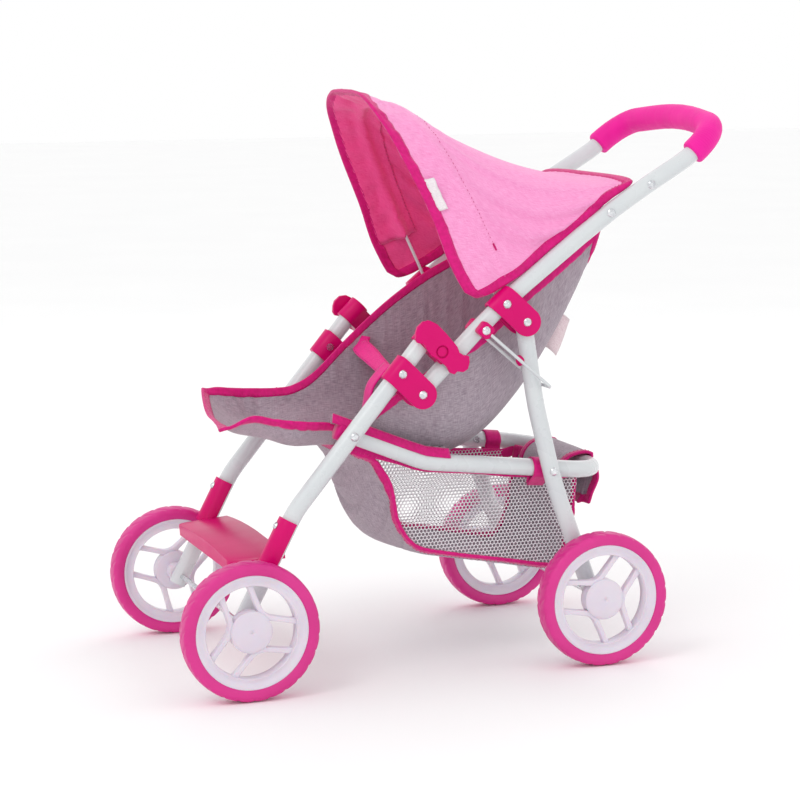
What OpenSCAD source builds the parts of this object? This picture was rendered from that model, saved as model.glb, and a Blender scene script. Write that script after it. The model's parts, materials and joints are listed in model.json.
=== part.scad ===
// Doll stroller: a folding tube frame on four wheels, with a fabric seat, a canopy on a wire bow
// and a basket. The front faces -Y, the left side is +X and the floor is z = 0. Millimetres.
// Points are [y, z] pairs measured from the front axle's y and the floor, until the whole is shifted.

/* [Wheels] */
// Outer diameter of every wheel
wheel_d = 125; // [122:1:126]
// Width of every tyre
tyre_w = 21; // [18:1:22]
// Distance between the middles of the front tyres
front_track = 270; // [268:1:276]
// Distance between the middles of the rear tyres
rear_track = 260; // [258:1:264]
// Distance from the front axle to the rear axle
wheel_base = 340; // [338:1:342]
// Diameter of both axle rods
axle_d = 5; // [4:0.5:5]

/* [Frame] */
// Outer diameter of the frame tubes
tube_d = 16; // [15:0.5:16]
// Wall of the frame tubes
tube_wall = 1.2; // [0.8:0.1:1.6]
// Distance from the middle of the stroller to the middle of a side tube
side_x = 106; // [105.5:0.5:107]
// Distance from the middle of the stroller to the middle of a basket rail
rail_x = 89.5; // [88:0.5:89.5]
// Diameter of the shanks of the rivets
rivet_d = 4; // [3:0.5:4]
// Radial clearance of every pin and axle in its hole
running = 0.06; // [0.02:0.01:0.1]

/* [Handle] */
// Outer diameter of the foam grip
grip_d = 24; // [20:1:25]
// Distance from the ends of the grip to the middle of the cross bar
grip_reach = 54; // [52:1:58]

/* [Fabric] */
// Thickness of the cloth solids
cloth = 3; // [2:0.5:3]

/* [Hidden] */
$fn = 48;
wheel_r = wheel_d / 2;
tube_sides = 20;
wire_sides = 10;
arc_step = 10;
tube_r = tube_d / 2;
tube_bore = tube_d - 2 * tube_wall;
rivet_hole = rivet_d + 2 * running;
axle_hole = axle_d + 2 * running;
head_r = 4;
head_h = 2.2;
tail_h = 1.2;
head_gap = 0.05;

// Direction of the front tube below and above its knee, of the canopy bow, and of the handle tube
// at the upper bracket, in degrees
front_low = 62.2;
front_high = 50.3;
bow_tilt = 114.5;
handle_slope = 40.1;

// Hinges and bends of the frame
front_axle_at = [0, wheel_r];
rear_axle_at = [wheel_base, wheel_r];
knee = front_axle_at + polar(110.7, front_low);
rail_pivot = knee + polar(84.3, front_high);
lower_fix = knee + polar(154.9, front_high);
front_top = knee + polar(200, front_high);
handle_pivot = [169.6, 260];
upper_fix = [250.9, 338.2];
leg_pivot = [270.6, 321.1];
rail_bend = [180.6, 194.3];
rail_leg = [298.4, 181.3];
rail_back = [360, 174.3];
leg_bends = [[283, 243], [302, 167]];
handle_bends = [[245, 334.5], [360, 421.8]];
grip_start = [434, 465.4];
seat_rivet = [354.3, 417.5];
canopy_rivet = [394.7, 442.2];
cross_rivet_s = 92;

// The handle rises a little more steeply from the grip's ends to the cross bar
grip_tilt = 40;
corner_s = 41;
bar_peak_s = grip_reach + 3.1;
corner_r = 36;

// Side plates of the brackets stand just off the tubes
plate_gap = 0.4;
plate_t = 2.5;
plate_r = 13;
plate_in = tube_r + plate_gap;
plate_out = plate_in + plate_t;

// Latch, in its own axes: e1 runs from the front tube to the handle tube, e2 runs up both tubes
latch_at = [188, 300];
latch_turn = -45;
latch_half = 15.5;
latch_pin = [0, -2];
latch_pin_r = 2.5;
pin_root = 4;
lever_in = 10.4;
lever_t = 4.6;
lever_seat = 2.2;
lever_shape = [[-30.8, -6.5], [-32.9, -2.1], [-32.5, 4.8], [-28.3, 10.1], [-21.1, 12.4], [-10, 12.4],
               [0.2, 11.7], [7.3, 11], [12.8, 8.7], [16.8, 9.5], [21.7, 12.6], [25.9, 9.1], [29.2, 3.5],
               [27.8, -1.6], [23.1, -4.9], [23, -8.7], [19.1, -10.5], [12.5, -8.7], [2.2, -9.5],
               [-5.1, -11.7], [-15.2, -9.5], [-18.7, -9.2], [-22.9, -12.2], [-26.6, -11.3]];

// Wire bail that holds the rear leg open
bail_pivot = [228, 316];
bail_end = [291.5, 261];
bail_side = 16;
bail_d = 3;
eye_w = 13;
eye_t = bail_side + bail_d / 2 - plate_in;
knob_s = 35;

// Rims and hubs, along the axle from the tyre's middle, outwards positive
rim_or = 51.3;
rim_ir = 41.6;
rim_w = 17;
hub_r = 9;
hub_disc_r = 19;
hub_out = 3;
nut_t = 1.2;
washer_t = 0.5;
hub_gap = 0.6;

// Where the whole is shifted to, so that the origin is under the middle of its box
grip_mid = grip_start + polar(grip_reach, grip_tilt);
origin_y = (grip_mid[0] + grip_d / 2 - wheel_r) / 2;

// ---- Points and placing ----

function polar(r, a) = r * [cos(a), sin(a)];
function at_x(x, p) = [x, p[0], p[1]];
function unit(v) = v / norm(v);
function mirrored(path) = [for (i = [len(path) - 1 : -1 : 0]) [-path[i][0], path[i][1], path[i][2]]];
function slope(a, b) = atan2(b[1] - a[1], b[0] - a[0]);
function grip_at(x, s) = at_x(x, grip_start + polar(s, grip_tilt));
function bow_at(x, s) = at_x(x, upper_fix + polar(s, bow_tilt));

// Moves a drawing that is measured from the front axle into the model's frame
module place() translate([0, -origin_y, 0]) children();

// Draws the left side's piece, or its mirror image on the right
module on_side(side) place() mirror([side == "right" ? 1 : 0, 0, 0]) children();

module both_sides() place() for (m = [0, 1]) mirror([m, 0, 0]) children();

// Puts children with their +Z on the line from a to b
module aim(a, b) {
    d = b - a;
    translate(a) rotate([0, acos(d[2] / norm(d)), atan2(d[1], d[0])]) children();
}

// Puts children with their +Z along +X, at the point p and the height x above the middle plane
module across(x, p) translate([x, p[0], p[1]]) rotate([90, 0, 90]) children();

// ---- Bent tubes: one skin swept along straight runs and arcs ----

function turn(p, i) = acos(unit(p[i] - p[i - 1]) * unit(p[i + 1] - p[i]));

// Points and directions along the arc of radius r at point i
function arc_stations(p, i, r) =
    let (u = unit(p[i] - p[i - 1]),
         v = unit(p[i + 1] - p[i]),
         a = turn(p, i),
         centre = p[i] + unit(v - u) * r / cos(a / 2),
         w = unit(p[i] - u * r * tan(a / 2) - centre),
         steps = max(2, ceil(a / arc_step)))
    [for (j = [0 : steps]) let (t = a * j / steps)
        [centre + r * (w * cos(t) + u * sin(t)), u * cos(t) - w * sin(t)]];

// Points and directions along the whole path p, with the bend radius r[i] at point i
function stations(p, r) =
    let (last = len(p) - 1)
    concat([[p[0], unit(p[1] - p[0])]],
           [for (i = [1 : last - 1]) for (s = arc_stations(p, i, r[i])) s],
           [[p[last], unit(p[last] - p[last - 1])]]);

// One direction square to the path at each station, carried along without twist
function square_to(d, a) = unit(a - d * (d * a));
function carried(s) = [for (i = 0, a = square_to(s[0][1], [0.3, -0.8, 0.5]); i < len(s);
    i = i + 1, a = i < len(s) ? square_to(s[i][1], a) : a) a];

// A tube of outer diameter od; id = 0 makes a solid rod
module bent_tube(p, r, od, id, sides) {
    s = stations(p, r);
    a = carried(s);
    m = len(s);
    n = sides;
    function ring(i, d) = [for (k = [0 : n - 1])
        s[i][0] + d / 2 * (a[i] * cos(360 * k / n) + cross(s[i][1], a[i]) * sin(360 * k / n))];
    function at(layer, i, k) = layer * m * n + i * n + k % n;
    function wall(layer) = [for (i = [0 : m - 2]) for (k = [0 : n - 1]) for (h = [0, 1])
        h == 0 ? [at(layer, i, k), at(layer, i + 1, k), at(layer, i, k + 1)]
               : [at(layer, i + 1, k), at(layer, i + 1, k + 1), at(layer, i, k + 1)]];
    function flipped(faces) = [for (f = faces) [f[2], f[1], f[0]]];
    function end_ring(i) = [for (k = [0 : n - 1]) for (h = [0, 1])
        h == 0 ? [at(0, i, k), at(0, i, k + 1), at(1, i, k)]
               : [at(0, i, k + 1), at(1, i, k + 1), at(1, i, k)]];
    hollow = id > 0;
    polyhedron(
        points = [for (d = hollow ? [od, id] : [od]) for (i = [0 : m - 1]) for (q = ring(i, d)) q],
        faces = hollow ? concat(wall(0), flipped(wall(1)), end_ring(0), flipped(end_ring(m - 1)))
            : concat(wall(0), [[for (k = [0 : n - 1]) k]], [[for (k = [n - 1 : -1 : 0]) at(0, m - 1, k)]]));
}

module cross_hole(p, d) across(-200, p) cylinder(d = d, h = 400);

// ---- Rivets ----

module dome(r, h) {
    ball = (r * r + h * h) / (2 * h);
    rotate_extrude() intersection() {
        translate([0, h - ball]) circle(ball, $fn = 360);
        square([r, h]);
    }
}

// A rivet from the inner face x0 to the outer face x1, with a tail inside and a domed head outside
module rivet(p, x0, x1) color("silver") {
    across(x0 - head_gap, p) cylinder(d = rivet_d, h = x1 - x0 + 2 * head_gap);
    across(x1 + head_gap, p) dome(head_r, head_h);
    across(x0 - head_gap - tail_h, p) cylinder(r = head_r - 0.5, h = tail_h);
}

// ---- Front frame ----

module front_tube() color("white") difference() {
    foot = front_axle_at - polar(9, front_low);
    bent_tube([for (p = [foot, knee, front_top]) at_x(side_x, p)], [0, 80, 0], tube_d, tube_bore, tube_sides);
    cross_hole(front_axle_at, axle_hole);
    for (p = [rail_pivot, lower_fix]) cross_hole(p, rivet_hole);
    crosspiece_rivet_hole();
}

// The rivet of the crosspiece goes in from the front, square to the tube
module crosspiece_rivet_hole() sleeve_frame(cross_rivet_s) rotate([0, -90, 0])
    cylinder(d = rivet_hole, h = 15);

// Axes on the front tube at the distance s above the axle: +Z up the tube, -X to the front
module sleeve_frame(s)
    aim(at_x(side_x, front_axle_at + polar(s, front_low)), at_x(side_x, knee)) children();

sleeve_r = 11;
sleeve_low = 56;
sleeve_len = 45;

module sleeve() sleeve_frame(sleeve_low) difference() {
    cylinder(r = sleeve_r, h = sleeve_len);
    translate([3.5, -sleeve_r, -1]) cube([sleeve_r, 2 * sleeve_r, sleeve_len + 2]);
}

// Footrest: a crowned plate with round front corners and a turned-down front edge
foot_w = 194;
foot_y = [-7, 44];
foot_z = 123;
foot_crown_r = 900;
foot_t = 3.2;
foot_corner = 14;

module foot_outline(inset) {
    w = foot_w / 2 - inset;
    front = foot_y[0] + inset;
    translate([-w, front + foot_corner]) square([2 * w, foot_y[1] - front - foot_corner]);
    translate([-w + foot_corner, front]) square([2 * (w - foot_corner), foot_corner]);
    for (x = [-w + foot_corner, w - foot_corner]) translate([x, front + foot_corner]) circle(foot_corner);
}

module crown(z) translate([0, foot_y[1] + 30, z - foot_crown_r]) rotate([90, 0, 0])
    cylinder(r = foot_crown_r, h = 120, $fn = 720);

module footrest() translate([0, 20, foot_z]) rotate([5, 0, 0]) translate([0, -20, -foot_z]) difference() {
    intersection() {
        translate([0, 0, foot_z - 14]) linear_extrude(20) foot_outline(0);
        crown(foot_z);
    }
    intersection() {
        translate([0, 0, foot_z - 30]) linear_extrude(40) union() {
            foot_outline(foot_t);
            translate([-foot_w, foot_y[1] - 12]) square([2 * foot_w, 40]);
        }
        crown(foot_z - foot_t);
    }
}

module front_crosspiece() color("deeppink") place() difference() {
    union() {
        footrest();
        for (m = [0, 1]) mirror([m, 0, 0]) sleeve();
    }
    for (m = [0, 1]) mirror([m, 0, 0]) {
        sleeve_frame(20) cylinder(r = tube_r + 0.2, h = 120);
        crosspiece_rivet_hole();
    }
}

module crosspiece_rivets() color("silver") both_sides() sleeve_frame(cross_rivet_s) rotate([0, -90, 0]) {
    translate([0, 0, tube_bore / 2]) cylinder(d = rivet_d, h = sleeve_r - tube_bore / 2);
    translate([0, 0, sleeve_r]) dome(head_r - 0.5, head_h);
}

module axle_rod(p, track) color("silver") place() {
    end = track / 2 + hub_out + nut_t + 1;
    across(-end, p) cylinder(d = axle_d, h = 2 * end);
}

module axle_nuts(p, track) color("gray") both_sides()
    across(track / 2 + hub_out + 0.2, p) difference() {
        cylinder(d = 11, h = nut_t);
        translate([0, 0, -1]) cylinder(d = axle_d, h = nut_t + 2);
    }

module axle_washers(p) color("silver") both_sides()
    across(side_x + tube_r, p) difference() {
        cylinder(d = 11, h = washer_t);
        translate([0, 0, -1]) cylinder(d = axle_hole, h = washer_t + 2);
    }

// ---- Brackets: a saddle along one tube and two side plates that reach to a pivot ----

function arc(centre, r, from, to) = [for (j = [0 : 16]) centre + polar(r, from + (to - from) * j / 16)];

module bracket(fix, pivot, tube_slope) color("deeppink") difference() {
    reach = norm(pivot - fix);
    end = polar(reach, slope(fix, pivot) - tube_slope + 90);
    translate(at_x(side_x, fix)) rotate([tube_slope - 90, 0, 0]) intersection() {
        translate([0, 0, -2 * plate_r]) linear_extrude(4 * plate_r) polygon(concat(
            arc([0, 0], plate_out, 180, 360), [[plate_out, reach + 20], [plate_in, reach + 20]],
            arc([0, 0], plate_in, 360, 180), [[-plate_in, reach + 20], [-plate_out, reach + 20]]));
        rotate([90, 0, 90]) translate([0, 0, -20]) linear_extrude(40) polygon(concat(
            arc(end, plate_r, -90, 90), arc([-plate_out + 3, plate_r - 4], 4, 90, 180),
            arc([-plate_out + 3, 4 - plate_r], 4, 180, 270)));
    }
    for (p = [fix, pivot]) cross_hole(p, rivet_hole);
}

module bracket_rivets(points, inner) both_sides()
    for (i = [0, 1]) rivet(points[i], side_x - plate_out - inner[i], side_x + plate_out);

// ---- Latch ----

// Latch axes, with +X of the drawing along e1, +Y along e2 and +Z away from the middle plane
module latch_axes(x) across(side_x + x, latch_at) rotate(latch_turn) children();

module latch_collar() color("deeppink") difference() {
    latch_axes(0) difference() {
        union() {
            translate([-latch_half, -10, 0]) rotate([-90, 0, 0]) cylinder(r = 10, h = 21.5);
            translate([-latch_half, -10, -8]) cube([latch_half + 9, 20, 18]);
        }
        translate([latch_half, -20, 0]) rotate([-90, 0, 0]) cylinder(r = tube_r + 0.5, h = 60);
        translate([latch_pin[0], latch_pin[1], pin_root]) cylinder(r = latch_pin_r, h = 8);
    }
    aim(at_x(side_x, rail_pivot), at_x(side_x, front_top))
        cylinder(r = tube_r + 0.05, h = norm(front_top - rail_pivot) + 1);
}

module latch_pins() color("deeppink") both_sides() latch_axes(0) translate(latch_pin) {
    translate([0, 0, pin_root]) cylinder(r = latch_pin_r, h = lever_in + 3 - pin_root);
    translate([0, 0, lever_in + 2.5]) cylinder(r = 4.6, h = 1);
}

module latch_lever() color("deeppink") latch_axes(lever_in) difference() {
    linear_extrude(lever_t) polygon(lever_shape);
    translate(latch_pin) {
        translate([0, 0, -1]) cylinder(r = latch_pin_r + running, h = 10);
        translate([0, 0, lever_seat]) cylinder(r = 5.8, h = lever_t);
    }
}

// ---- Basket rail, handle and rear legs ----

rail_path = [at_x(rail_x, rail_pivot - polar(9, slope(rail_pivot, rail_bend))), at_x(rail_x, rail_bend),
             at_x(rail_x, rail_back)];

module rail_tube() color("white") place() difference() {
    bent_tube(concat(rail_path, mirrored(rail_path)), [0, 60, 40, 40, 60, 0],
              tube_d, tube_bore, tube_sides);
    for (p = [rail_pivot, rail_leg]) cross_hole(p, rivet_hole);
}

grip_path = [grip_at(side_x, 0), grip_at(side_x, corner_s), grip_at(0, bar_peak_s)];
handle_path = concat([for (p = [handle_pivot - polar(10, slope(handle_pivot, handle_bends[0])),
                                handle_bends[0], handle_bends[1]]) at_x(side_x, p)], grip_path);

module handle_tube() color("white") place() difference() {
    bent_tube(concat(handle_path, [for (i = [1 : 5]) mirrored(handle_path)[i]]),
              [0, 500, 700, 120, corner_r, 300, corner_r, 120, 700, 500, 0], tube_d, tube_bore, tube_sides);
    for (p = [handle_pivot, upper_fix, bail_pivot, seat_rivet, canopy_rivet]) cross_hole(p, rivet_hole);
}

// The foam starts just past the small bend at its ends, so that its runs are the tube's own
grip_clear = 6;
foam_path = [grip_at(side_x, grip_clear), grip_path[1], grip_path[2]];

module handle_grip() color("hotpink") place()
    bent_tube(concat(foam_path, [for (i = [1, 2]) mirrored(foam_path)[i]]),
              [0, corner_r, 300, corner_r, 0], grip_d, tube_d + 0.4, tube_sides);

module rear_leg() color("white") difference() {
    foot = rear_axle_at + 9 * unit(rear_axle_at - leg_bends[1]);
    top = leg_pivot + 10 * unit(leg_pivot - leg_bends[0]);
    bent_tube([for (p = [top, leg_bends[0], leg_bends[1], foot]) at_x(side_x, p)], [0, 300, 300, 0],
              tube_d, tube_bore, tube_sides);
    cross_hole(rear_axle_at, axle_hole);
    for (p = [leg_pivot, rail_leg]) cross_hole(p, rivet_hole);
}

module leg_knobs() color("deeppink") both_sides() {
    at = leg_pivot + knob_s * unit(leg_bends[0] - leg_pivot);
    translate(at_x(side_x, at)) rotate([slope(leg_pivot, leg_bends[0]) - 90, 0, 0]) rotate([90, 0, 0])
        translate([0, 0, -tube_r - 4.5]) difference() {
            union() {
                translate([0, 0, 2]) cylinder(r = 5, h = 6);
                mirror([0, 0, 1]) translate([0, 0, -2]) dome(5, 2);
            }
            translate([0, -20, tube_r + 4.5]) rotate([-90, 0, 0]) cylinder(r = tube_r + 0.05, h = 40);
        }
}

// Wire bail: both arms and the bar behind the leg
module bail_wire() color("white") {
    start = bail_pivot + polar(rivet_d / 2 + 1, slope(bail_pivot, bail_end));
    bent_tube([at_x(side_x + bail_side, start), at_x(side_x + bail_side, bail_end),
               at_x(side_x - bail_side, bail_end), at_x(side_x - bail_side, start)],
              [0, 4, 4, 0], bail_d, 0, wire_sides);
}

module bail_eyes() color("deeppink") for (x = [side_x + plate_in, side_x - plate_in - eye_t])
    across(x, bail_pivot) rotate(slope(bail_pivot, bail_end)) linear_extrude(eye_t) difference() {
        union() {
            square([eye_w, eye_w - 6], center = true);
            square([eye_w - 6, eye_w], center = true);
            for (a = [45 : 90 : 315]) rotate(a) translate([(eye_w / 2 - 3) * sqrt(2), 0]) circle(3);
        }
        circle(d = rivet_hole);
    }

// ---- Wheels, drawn with the axle on +Z and the outer side up ----

module wheel_place(side, p, track) on_side(side) across(track / 2, p) children();

module rounded_section(r0, r1, w, r) translate([r0, -w / 2]) {
    square([r1 - r0 - r, w]);
    translate([0, r]) square([r1 - r0, w - 2 * r]);
    for (y = [r, w - r]) translate([r1 - r0 - r, y]) circle(r);
}

module tyre() color("deeppink") rotate_extrude($fn = 120) rounded_section(rim_or, wheel_r, tyre_w, 5);

spoke_w = 5;
spoke_d = 8.6;
spoke_spread = 42;
spoke_point = 14;
hub_disc_in = 6;
spoke_top = hub_out - 0.2;

// Two legs of one V-shaped spoke, from its point in the hub's disc to the rim
module spoke(a) for (s = [-1, 1]) {
    from = polar(spoke_point, a);
    to = polar(rim_ir + 2, a + s * spoke_spread);
    translate([from[0], from[1], spoke_top - spoke_d]) rotate(slope(from, to))
        translate([0, -spoke_w / 2, 0]) cube([norm(to - from), spoke_w, spoke_d]);
}

module rim(boss, spoke_turn) color("lavenderblush") difference() {
    union() {
        rotate_extrude($fn = 120) translate([rim_ir, -rim_w / 2]) square([rim_or - rim_ir, rim_w]);
        translate([0, 0, -boss]) cylinder(r = hub_r, h = boss + hub_out);
        translate([0, 0, -hub_disc_in]) cylinder(r = hub_disc_r, h = hub_disc_in + hub_out);
        for (a = [0, 120, 240]) spoke(spoke_turn + a);
    }
    translate([0, 0, -boss - 1]) cylinder(d = axle_hole, h = boss + hub_out + 2);
}

module hub_cap() color("lavenderblush") translate([0, 0, hub_out]) difference() {
    union() {
        cylinder(r = hub_disc_r, h = 3);
        translate([0, 0, 3]) dome(hub_disc_r, 2.5);
    }
    translate([0, 0, -1]) cylinder(r = 7, h = 4);
}

// ---- Canopy ----

bow_d = 3;
bow_eye_x = 94.6;
bow_eye_t = 2.2;
module canopy_bow() color("white") place() {
    half = [bow_at(bow_eye_x - bow_eye_t / 2, 4.5), bow_at(94, 117), bow_at(66, 179), bow_at(0, 190)];
    bent_tube(concat(half, [for (i = [1 : 3]) mirrored(half)[i]]), [0, 60, 50, 80, 50, 60, 0],
              bow_d, 0, wire_sides);
    for (x = [bow_eye_x - bow_eye_t, -bow_eye_x]) across(x, upper_fix) difference() {
        cylinder(r = 5, h = bow_eye_t);
        translate([0, 0, -1]) cylinder(d = rivet_hole, h = 5);
    }
}

// Closed skin between an outer and an inner grid of points
module skin(outer, inner) {
    m = len(outer);
    n = len(outer[0]);
    function id(s, i, j) = s * m * n + i * n + j;
    polyhedron(points = [for (g = [outer, inner]) for (row = g) for (p = row) p],
        faces = concat(
            [for (i = [0 : m - 2]) for (j = [0 : n - 2]) for (k = [0, 1])
                k == 0 ? [id(0, i, j), id(0, i + 1, j), id(0, i + 1, j + 1)]
                       : [id(0, i, j), id(0, i + 1, j + 1), id(0, i, j + 1)]],
            [for (i = [0 : m - 2]) for (j = [0 : n - 2]) for (k = [0, 1])
                k == 0 ? [id(1, i, j), id(1, i + 1, j + 1), id(1, i + 1, j)]
                       : [id(1, i, j), id(1, i, j + 1), id(1, i + 1, j + 1)]],
            [for (i = [0 : m - 2]) for (k = [0, 1])
                k == 0 ? [id(0, i, 0), id(1, i, 0), id(1, i + 1, 0)]
                       : [id(0, i, 0), id(1, i + 1, 0), id(0, i + 1, 0)]],
            [for (i = [0 : m - 2]) for (k = [0, 1])
                k == 0 ? [id(0, i, n - 1), id(1, i + 1, n - 1), id(1, i, n - 1)]
                       : [id(0, i, n - 1), id(0, i + 1, n - 1), id(1, i + 1, n - 1)]],
            [for (j = [0 : n - 2]) for (k = [0, 1])
                k == 0 ? [id(0, 0, j), id(1, 0, j + 1), id(1, 0, j)]
                       : [id(0, 0, j), id(0, 0, j + 1), id(1, 0, j + 1)]],
            [for (j = [0 : n - 2]) for (k = [0, 1])
                k == 0 ? [id(0, m - 1, j), id(1, m - 1, j), id(1, m - 1, j + 1)]
                       : [id(0, m - 1, j), id(1, m - 1, j + 1), id(0, m - 1, j + 1)]]));
}

// The canopy's side hem runs above the handle tube, and its ridge from the bow to the rear edge
hem_front = [238, 349];
hem_back = [379, 444.5];
ridge_front = 129;
ridge_back = 384;
ridge_z = [[0, 526], [0.18, 515], [0.6, 468], [1, 449]];
function hem(u) = hem_front + (hem_back - hem_front) * u;
function ridge(u) = [ridge_front + (ridge_back - ridge_front) * u, lookup(u, ridge_z)];
function canopy_point(u, t, inset) =
    let (x = (107 - 3 * u - inset) * sign(cos(t)) * pow(abs(cos(t)), 0.55),
         rise = pow(sin(t), 0.8),
         top = ridge(u) + inset * [0.3, -0.9])
    at_x(x, hem(u) + (top - hem(u)) * rise);
function canopy_grid(inset) =
    [for (i = [0 : 10]) [for (j = [0 : 24]) canopy_point(i / 10, 7.5 * j, inset)]];

module canopy() color("hotpink") place() skin(canopy_grid(0), canopy_grid(cloth));

// ---- Seat: a hammock of U-shaped sections, from the leg rest to the top of the back ----

// Each row: lowest point of the section, its top edge at the sides, and its half width
seat_rows = [[[10, 230], [5, 238], 76], [[45, 217], [40, 240], 82], [[85, 206], [88, 238], 82],
             [[120, 203], [112, 246], 79], [[165, 199], [150, 275], 79], [[212, 193], [200, 315], 79],
             [[252, 205], [245, 346], 80], [[285, 241], [283, 370], 83], [[312, 285], [310, 385], 84],
             [[336, 332], [333, 397], 84], [[362, 387], [354, 404], 84]];
function seat_point(row, t, inset) =
    let (low = row[0] + inset * [-0.4, 0.9], top = row[1])
    at_x((row[2] - inset) * sign(t) * pow(abs(sin(t)), 0.75),
         low + (top - low) * (1 - pow(abs(cos(t)), 0.75)));
function seat_grid(inset) = [for (row = seat_rows) [for (j = [-9 : 9]) seat_point(row, 10 * j, inset)]];

module seat() color("rosybrown") place() skin(seat_grid(0), seat_grid(cloth));

// Waist belt: a bowed band between the seat's sides, with a strap down to the seat
belt_span = 75;
belt_bow = 16;
belt_y = 160;
belt_z = [268, 290];
belt_t = 2.5;

module waist_belt() color("mediumvioletred") place() {
    r = (belt_span * belt_span + belt_bow * belt_bow) / (2 * belt_bow);
    half = asin(belt_span / r);
    translate([0, belt_y + r, belt_z[0]]) rotate(270 - half)
        rotate_extrude(angle = 2 * half, $fn = 360)
            translate([r - belt_t, 0]) square([belt_t, belt_z[1] - belt_z[0]]);
    strap_foot = [152, 209];
    strap_top = [belt_y + belt_t, belt_z[0] + 1];
    across(-11, strap_foot) rotate(slope(strap_foot, strap_top))
        cube([norm(strap_top - strap_foot), belt_t, 22]);
}

// ---- Basket: cloth front, bottom and back with net sides, hung inside the rail ----

basket_x = 79;
basket_out = [[118, 199], [132, 190], [146, 172], [158, 150], [168, 130], [186, 114], [229, 103], [277, 92],
              [316, 83], [328, 112], [337, 148], [346, 175]];
basket_in = [[124, 199], [135, 192], [149, 173], [161, 151], [171, 132], [188, 117], [230, 106], [277, 95],
             [314, 87], [325, 113], [334, 149], [342, 175]];

basket_corner = 30;
basket_back = 346;
basket_top = 230;

// The basket seen from above, with round corners where the rail bends
module basket_plan(inset) linear_extrude(basket_top) polygon(concat(
    [[inset - basket_x, 0], [basket_x - inset, 0]],
    arc([basket_x - basket_corner, basket_back - basket_corner], basket_corner - inset, 0, 90),
    arc([basket_corner - basket_x, basket_back - basket_corner], basket_corner - inset, 90, 180)));

module basket() color("rosybrown") place() difference() {
    intersection() {
        across(-basket_x, [0, 0]) linear_extrude(2 * basket_x) polygon(basket_out);
        basket_plan(0);
    }
    intersection() {
        across(-basket_x, [0, 0]) linear_extrude(2 * basket_x) polygon(concat(basket_in,
            [[basket_in[11][0], basket_top], [basket_in[0][0], basket_top]]));
        basket_plan(cloth);
    }
}

flap_w = 96;
module basket_flap() color("rosybrown") place() across(-flap_w / 2, rail_back) linear_extrude(flap_w) {
    difference() {
        circle(tube_r + 0.3 + 2.5);
        circle(tube_r + 0.3);
        translate([-20, -40]) square(40);
    }
    translate([tube_r + 0.3, -24]) square([2.5, 24]);
    translate([-tube_r - 2.8, -6]) square([2.5, 6]);
}

// ---- Nodes ----

module pair(name, side) on_side(side) children();

for (side = ["left", "right"]) {
    pair("front_tube", side) front_tube();
    pair("lower_bracket", side) bracket(lower_fix, handle_pivot, front_high);
    pair("upper_bracket", side) bracket(upper_fix, leg_pivot, handle_slope);
    pair("latch_collar", side) latch_collar();
    pair("latch_lever", side) latch_lever();
    pair("rear_leg", side) rear_leg();
    pair("bail_wire", side) bail_wire();
    pair("bail_eyes", side) bail_eyes();
}
for (side = ["left", "right"]) for (end = ["front", "rear"]) {
    track = end == "front" ? front_track : rear_track;
    p = end == "front" ? front_axle_at : rear_axle_at;
    boss = track / 2 - side_x - tube_r - hub_gap;
    wheel_place(side, p, track) tyre();
    wheel_place(side, p, track)
        rim(boss, end == "rear" ? 113 : side == "left" ? 50 : 103);
    wheel_place(side, p, track) hub_cap();
}
front_crosspiece();
crosspiece_rivets();
axle_rod(front_axle_at, front_track);  // front_axle
axle_nuts(front_axle_at, front_track);  // front_axle_nuts
axle_washers(front_axle_at);  // front_axle_washers
bracket_rivets([lower_fix, handle_pivot], [0, 0]);  // lower_bracket_rivets
latch_pins();
rail_tube();
both_sides()  // rail_front_rivets
    rivet(rail_pivot, rail_x - tube_r, side_x + tube_r);
both_sides() color("silver") {  // rail_leg_rivets
    across(rail_x - tube_r, rail_leg) cylinder(d = rivet_d, h = tube_d - 0.2);
    across(rail_x - tube_r - tail_h, rail_leg) cylinder(r = head_r - 0.5, h = tail_h);
}
handle_tube();
handle_grip();
bracket_rivets([upper_fix, leg_pivot], [bow_eye_t + 0.5, 0]);  // upper_bracket_rivets
both_sides()  // handle_rivets
    for (p = [seat_rivet, canopy_rivet]) rivet(p, side_x - tube_r, side_x + tube_r);
both_sides()  // bail_rivets
    rivet(bail_pivot, side_x - plate_in - eye_t, side_x + plate_in + eye_t);
leg_knobs();
both_sides() color("silver") {  // leg_rail_rivets
    across(side_x - tube_r + 0.2, rail_leg) cylinder(d = rivet_d, h = tube_d - 0.2);
    across(side_x + tube_r, rail_leg) dome(head_r, head_h);
}
axle_rod(rear_axle_at, rear_track);  // rear_axle
axle_nuts(rear_axle_at, rear_track);  // rear_axle_nuts
axle_washers(rear_axle_at);  // rear_axle_washers
canopy_bow();
canopy();
seat();
waist_belt();
basket();
basket_flap();
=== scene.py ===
import json
import math

import bmesh
import bpy
import numpy as np
from mathutils import Matrix, Vector


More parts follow.
